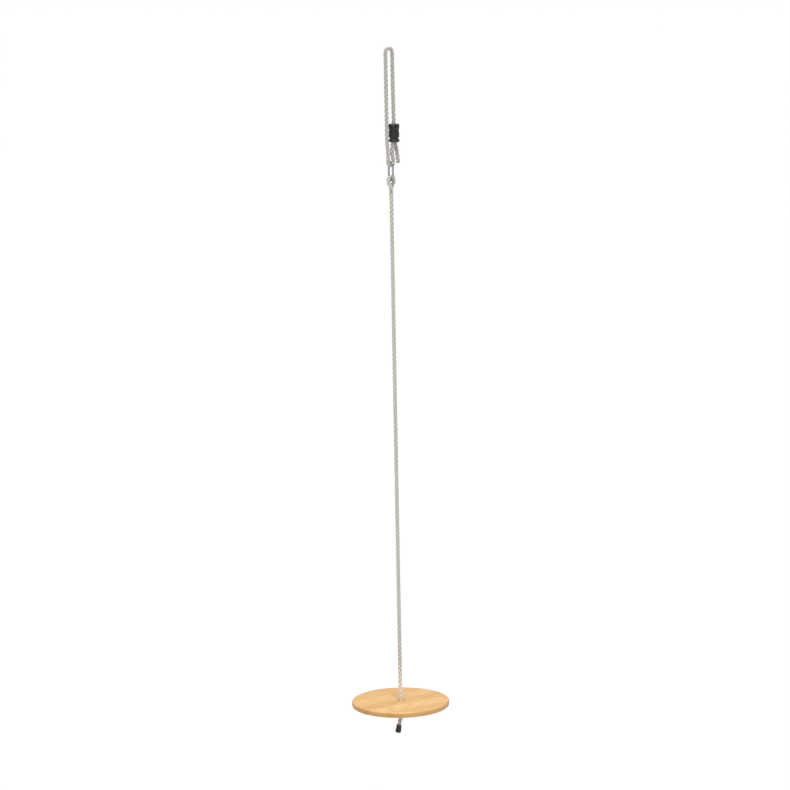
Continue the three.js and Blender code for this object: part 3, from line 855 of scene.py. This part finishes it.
sling_points = np.concatenate(
    [
        SLING_TAIL,
        SLING_IN_ADJUSTER,
        SLING_RIGHT,
        arc_xz(12, -6, 0, 180, 7),
        SLING_LEFT,
        arc_xz(LOOP_R, HOOK_TOP, 180, 360, 7),
        SLING_LEG,
    ]
)
sling_line = resampled(smooth(sling_points) * MM, 1.8 * MM)
SLING_PHASE = 0.6
sling = strand_tubes(
    "sling_rope_laid", laid_strands(sling_line, SLING_PHASE), [STRAND_R] * 3, [sling_line] * 3, SLING
)


def sealed_end(name, line, material):
    """The rope's cut end, melted over: a low lumpy cap on the first point of the line."""
    profile = [[0, -1.2], [3.4, -1.0], [5.2, -0.2], [5.95, 1.0], [5.9, 2.4], [5.3, 3.6], [0, 3.6]]
    vertices, faces = turned(dense(rounded(profile, 0.8), 0.5), 72)
    angle = np.arctan2(vertices[:, 1], vertices[:, 0])
    lumps = 1 + 0.035 * np.cos(3 * angle + 0.4) + 0.02 * np.cos(7 * angle + 1.3) + 0.012 * np.cos(13 * angle)
    vertices[:, :2] *= lumps[:, None]
    vertices[:, 2] += 0.22 * np.cos(2 * angle + 0.7) * np.hypot(vertices[:, 0], vertices[:, 1]) / 6
    up = Vector(line[2] - line[0]).to_track_quat("Z", "Y").to_matrix().to_4x4()
    placed = moved((vertices, faces), Matrix.Translation(Vector(line[0] / MM)) @ up)
    return carved(name, [("+", placed)], material, sharp=60)


sling_end = sealed_end("sling_end_melted", sling_line, MELT)

# ---------------------------------------------------------------- the rope adjuster

ADJUSTER = Matrix.Translation((13.5, 0, -221)) @ Matrix.Rotation(math.radians(33), 4, "Z")
SCREW_OUT = 11.2
SCREW_Z = -6.5
GAP = 0.15


def ribbed(profile, low, high, count, depth, sides=216):
    """A turned shape whose surface carries upright ribs between two heights."""
    vertices, faces = turned(profile, sides)
    angle = np.arctan2(vertices[:, 1], vertices[:, 0])
    out = np.hypot(vertices[:, 0], vertices[:, 1])
    wave = np.clip(0.5 + 1.1 * np.cos(count * angle), 0, 1)
    window = np.clip((vertices[:, 2] - low) / 0.8, 0, 1) * np.clip((high - vertices[:, 2]) / 0.8, 0, 1)
    scale = 1 + np.where(out > 5, depth * wave * window / np.maximum(out, 1), 0)
    vertices[:, :2] *= scale[:, None]
    return vertices, faces


spool_profile = dense(
    rounded(
        [[0, -53.3], [13.4, -53.3], [13.4, -39.6], [15.2, -39.2], [15.9, -38.3], [15.9, -33.6], [15.5, -32.4],
         [15, -28], [14.2, -23], [14.2, -16.2], [15.6, -14.6], [16.6, -13.2], [16.6, -1.5], [15, 0], [0, 0]],
        0.7,
    ),
    0.8,
)
spool = ribbed(spool_profile, -31.0, -16.0, 18, 0.75)
channel_tail = smooth(np.concatenate([SLING_TAIL[3:], SLING_IN_ADJUSTER, SLING_RIGHT[:1]]), 10)
channel_leg = smooth(SLING_LEG[3:6] + [[8.3, -3.4, -253.5]], 10)
own = ADJUSTER.inverted()
channels = [moved(swept(line, 6.3, 32), own) for line in (channel_tail, channel_leg)]
ACROSS = Matrix.Rotation(math.radians(90), 4, "X")  # turns +Z to -Y


def across(shape, side):
    """A shape about Z put on a screw's axis, its +Z end to the front (-Y)."""
    return moved(shape, Matrix.Translation((side * SCREW_OUT, 0, SCREW_Z)) @ ACROSS)


def round_cut(radius, low, high, sides=40):
    return turned([[0, low], [radius, low], [radius, high], [0, high]], sides)


for half, (low, high) in {"front": (-30, -GAP), "back": (GAP, 30)}.items():
    steps = [("+", spool), *(("-", c) for c in channels)]
    for side in (-1, 1):
        steps.append(("-", across(round_cut(1.75, -30, 30), side)))
        steps.append(("-", across(round_cut(3.1, 4.6, 30), side)))
        steps.append(("-", across(prism(6, 3.45, -30, -4.6), side)))
    steps.append(("*", box_shape((-30, low, -60), (30, high, 5))))
    placed = [(sign, moved(shape, ADJUSTER)) for sign, shape in steps]
    shell = carved(f"adjuster_{half}_moulding", placed, PLASTIC, voxel=0.34, keep=0.3)
    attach(shell, "sling")
    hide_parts(f"adjuster_{half}_shell")

ring_profile = rounded(
    [
        [13.7, -53.6], [15, -53.6], [16.3, -52.2], [16.3, -50.8], [15.9, -50.3],
        [15.9, -49.3], [16.3, -48.8], [16.3, -47.2], [15, -45.8], [13.7, -45.8],
    ],
    0.5,
)
ring_shape = moved(turned(ring_profile, 128, closed=True), ADJUSTER)
lock_ring = carved("adjuster_ring_moulding", [("+", ring_shape)], PLASTIC, sharp=40)
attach(lock_ring, "sling")
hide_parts("adjuster_lock_ring")

nut_chamfer = [[0, -7.0], [2.55, -7.0], [3.15, -6.6], [3.15, -5.1], [2.8, -4.7], [0, -4.7]]
screw_profile = rounded(
    [[0, -7.6], [1.1, -7.6], [1.5, -7.2], [1.5, 4.7], [2.75, 4.7], [2.75, 7.6], [0, 7.6]], 0.35, 4
)
for side, word in ((-1, "left"), (1, "right")):
    screw = carved(
        f"adjuster_screw_{word}_turned",
        [("+", moved(across(turned(screw_profile, 48), side), ADJUSTER)),
         ("-", moved(across(prism(6, 1.35, 6.0, 12, 0.3), side), ADJUSTER))],
        STEEL, sharp=35,
    )
    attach(screw, "sling")
    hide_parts(f"adjuster_screw_{word}")
    nut = carved(
        f"adjuster_nut_{word}_chamfered",
        [("+", moved(across(prism(6, 3.1, -7.0, -4.7), side), ADJUSTER)),
         ("*", moved(across(turned(nut_chamfer, 60), side), ADJUSTER)),
         ("-", moved(across(round_cut(1.62, -8, 0), side), ADJUSTER))],
        STEEL, sharp=25,
    )
    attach(nut, "sling")
    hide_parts(f"adjuster_nut_{word}")

# ---------------------------------------------------------------- the snap hook

UPPER_BOW, LOWER_BOW = 10.5, 12.0
UPPER_CENTRE, LOWER_CENTRE = HOOK_TOP - UPPER_BOW, HOOK_BOTTOM + LOWER_BOW
PIVOT = (0.0, 10.6, -347.0)
GATE_FRAME = Matrix.Translation(PIVOT) @ Matrix.Rotation(math.atan(1.5 / 31.5), 4, "X")
GATE_END = -25.4


def gate_points(heights, y=0.0):
    return [list(GATE_FRAME @ Vector((0, y, z))) for z in heights]


spine = [
    [0, -(UPPER_BOW + (LOWER_BOW - UPPER_BOW) * k), UPPER_CENTRE + (LOWER_CENTRE - UPPER_CENTRE) * k]
    for k in (0.25, 0.5, 0.75)
]
hook_line = resampled(
    smooth(
        np.concatenate(
            [
                gate_points((-2.6, 0.0, 2.4, 4.6)),
                arc_yz(UPPER_BOW, UPPER_CENTRE, 24, 180, 9),
                spine,
                arc_yz(LOWER_BOW, LOWER_CENTRE, 180, 350, 10),
                gate_points((GATE_END - 1.2, GATE_END + 1.5, GATE_END + 4.6)),
            ]
        )
    ),
    0.45,
)


def hook_shape():
    """The wire, flattened to a tongue at both ends."""
    sides = 36
    along = distances(hook_line)
    to_end = along[-1] - along
    flat = np.maximum(np.clip((7.0 - along) / 3.0, 0, 1), np.clip((6.6 - to_end) / 1.2, 0, 1))
    flat = flat * flat * (3 - 2 * flat)
    tangents = unit(np.gradient(hook_line, axis=0))
    side = np.array([1.0, 0, 0])
    inward = np.cross(tangents, side)
    turn = 2 * np.pi * np.arange(sides) / sides
    power = 2 / (2 + 5 * flat)[:, None]
    tip = np.sqrt(np.clip(1 - np.clip((2.4 - along) / 2.6, 0, 1) ** 2, 0.05, 1))
    half_x = (3.0 - 1.8 * flat)[:, None]
    half_in = ((3.0 - np.where(along < 20, 0.5, 0.9) * flat) * tip)[:, None]
    cx = np.sign(np.cos(turn)) * np.abs(np.cos(turn)) ** power * half_x
    cy = np.sign(np.sin(turn)) * np.abs(np.sin(turn)) ** power * half_in
    ring = hook_line[:, None] + cx[..., None] * side + cy[..., None] * inward[:, None]
    faces = [list(f) for f in grid_faces(len(hook_line), sides)]
    last = (len(hook_line) - 1) * sides
    faces += [list(range(sides - 1, -1, -1)), list(range(last, last + sides))]
    return ring.reshape(-1, 3), faces


hook = carved("snap_hook_wire", [("+", hook_shape())], ZINC, sharp=50)
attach(hook, "snap_hook")
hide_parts("carabiner_body")

gate_profile = rounded([[0, GATE_END], [3.2, GATE_END], [3.2, 1.6], [2.6, 3.1], [0, 3.3]], 0.7)
gate = carved(
    "snap_hook_gate",
    [
        ("+", moved(turned(dense(gate_profile, 1.5), 64), GATE_FRAME)),
        ("-", moved(box_shape((-1.5, -30, -4.4), (1.5, 30, 10)), GATE_FRAME)),
        ("-", moved(box_shape((-1.5, -30, -40), (1.5, 30, GATE_END + 5.6)), GATE_FRAME)),
        ("-", moved(round_cut(1.7, -17, 0), GATE_FRAME)),
    ],
    ZINC, voxel=0.16, keep=0.35, soften=3,
)
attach(gate, "gate")
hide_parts("carabiner_gate")

SIDEWAYS = Matrix.Rotation(math.radians(90), 4, "Y")
rivet_profile = [
    [0, -4.35], [0.9, -4.3], [1.6, -4.0], [1.9, -3.6], [1.9, -3.3], [1.2, -3.3],
    [1.2, 3.3], [1.9, 3.3], [1.9, 3.6], [1.6, 4.0], [0.9, 4.3], [0, 4.35],
]
rivet_shape = moved(turned(rivet_profile, 40), GATE_FRAME @ SIDEWAYS)
rivet = carved("gate_rivet", [("+", rivet_shape)], STEEL, sharp=45)
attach(rivet, "snap_hook")
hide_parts("gate_pin")

# ---------------------------------------------------------------- the seat

SEAT_R, EDGE_R = 150.0, 6.0
quarter = np.radians(np.linspace(0, 90, 9))
rim = [[SEAT_R - EDGE_R + EDGE_R * math.sin(a), SEAT_BOTTOM + EDGE_R - EDGE_R * math.cos(a)] for a in quarter]
rim += [[SEAT_R - EDGE_R + EDGE_R * math.cos(a), SEAT_TOP - EDGE_R + EDGE_R * math.sin(a)] for a in quarter]
disc = turned([[0, SEAT_BOTTOM], *rim, [0, SEAT_TOP]], 256)
HOLE_R, HOLE_EASE = 7, 1.6
hole_side = [
    [HOLE_R + HOLE_EASE - HOLE_EASE * math.sin(a), SEAT_TOP - HOLE_EASE + HOLE_EASE * math.cos(a)]
    for a in quarter[::2]
]
hole = turned(
    [[0, SEAT_BOTTOM - 3], [HOLE_R + HOLE_EASE, SEAT_BOTTOM - 3]]
    + [[r, SEAT_TOP + SEAT_BOTTOM - z] for r, z in hole_side]
    + hole_side[::-1]
    + [[HOLE_R + HOLE_EASE, SEAT_TOP + 3], [0, SEAT_TOP + 3]],
    64,
)
JOINTS = [150, 120, 66, 12, -42, -96, -150]  # Y of the glue lines, from the back
SEAM = 0.04  # half the open width of a glue line
WOODS = [  # tone, warmth, pith (y, z), tilt (y, z), seed
    (0.95, 0.95, (0.128, -0.060), (0.02, 0.045), 3.1),
    (0.96, 0.98, (0.060, -0.085), (-0.03, 0.060), 7.7),
    (1.00, 1.01, (0.052, -0.140), (0.02, -0.070), 12.4),
    (0.92, 0.94, (-0.020, -0.070), (0.03, -0.050), 17.9),
    (1.01, 1.02, (-0.055, -0.150), (-0.02, 0.080), 23.3),
    (0.94, 0.96, (-0.150, -0.095), (0.03, 0.055), 29.8),
]
for index, (tone, warmth, pith, tilt, seed) in enumerate(WOODS):
    back, front = JOINTS[index], JOINTS[index + 1]
    slab_front = front + (SEAM if index < len(WOODS) - 1 else -20)
    slab_back = back - (SEAM if index else -20)
    slab = box_shape((-200, slab_front, SEAT_BOTTOM - 5), (200, slab_back, SEAT_TOP + 5))
    steps = [("+", disc), ("*", slab)]
    if front < 0 < back:
        steps.append(("-", hole))
    wood = wood_material(f"wood_{index + 1}", tone, warmth, pith, tilt, seed)
    stave = carved(f"wood_stave_{index + 1}", steps, wood, sharp=32)
    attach(stave, "seat")
    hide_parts(f"seat_stave_{index + 1}")

# ---------------------------------------------------------------- which body each rope rides on

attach(sling, "sling")
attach(sling_end, "sling")
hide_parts("sling_rope")
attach(eye, "rope_eye")
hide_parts("seat_rope_eye")
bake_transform(seat_rope)
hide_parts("seat_rope")
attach(end_knot, "rope")
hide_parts("stopper_knot", "rope_tail")
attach(cap, "rope")
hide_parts("rope_end_cap")

# ---------------------------------------------------------------- small CAD parts that stay

for node in ("gate_spring", "gate_plunger"):
    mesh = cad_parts[node].data
    mesh.materials.clear()
    mesh.materials.append(STEEL)

# ---------------------------------------------------------------- floor and light

FLOOR_Z = -2.495
FLOOR_HALF = 300
corners = [(-1, -1), (1, -1), (1, 1), (-1, 1)]
floor = mesh_object("floor", [[FLOOR_HALF * x, FLOOR_HALF * y, FLOOR_Z] for x, y in corners], [[0, 1, 2, 3]])
f = Nodes("pale_floor")
floor.data.materials.append(
    f.finish(
        Base_Color=(0.80, 0.80, 0.795),
        Roughness=f.span(f.noise(f.coordinates(), 40.0, 2.0), 0.0, 1.0, 0.82, 0.9),
    )
)
floor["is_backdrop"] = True

world = bpy.data.worlds.new("studio")
world.use_nodes = True
world.node_tree.nodes["Background"].inputs["Color"].default_value = (0.95, 0.97, 1.0, 1.0)
world.node_tree.nodes["Background"].inputs["Strength"].default_value = 0.42
scene.world = world


def sun(name, direction, strength, angle):
    data = bpy.data.lights.new(name, "SUN")
    data.energy = strength
    data.angle = math.radians(angle)
    lamp = bpy.data.objects.new(name, data)
    lamp.rotation_euler = Vector(direction).to_track_quat("-Z", "Y").to_euler()
    scene.collection.objects.link(lamp)


sun("key", (0.22, 0.36, -1.25), 2.75, 22)
sun("fill", (0.9, -0.25, -0.7), 0.3, 50)

# ---------------------------------------------------------------- sizes, and the end

low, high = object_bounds()
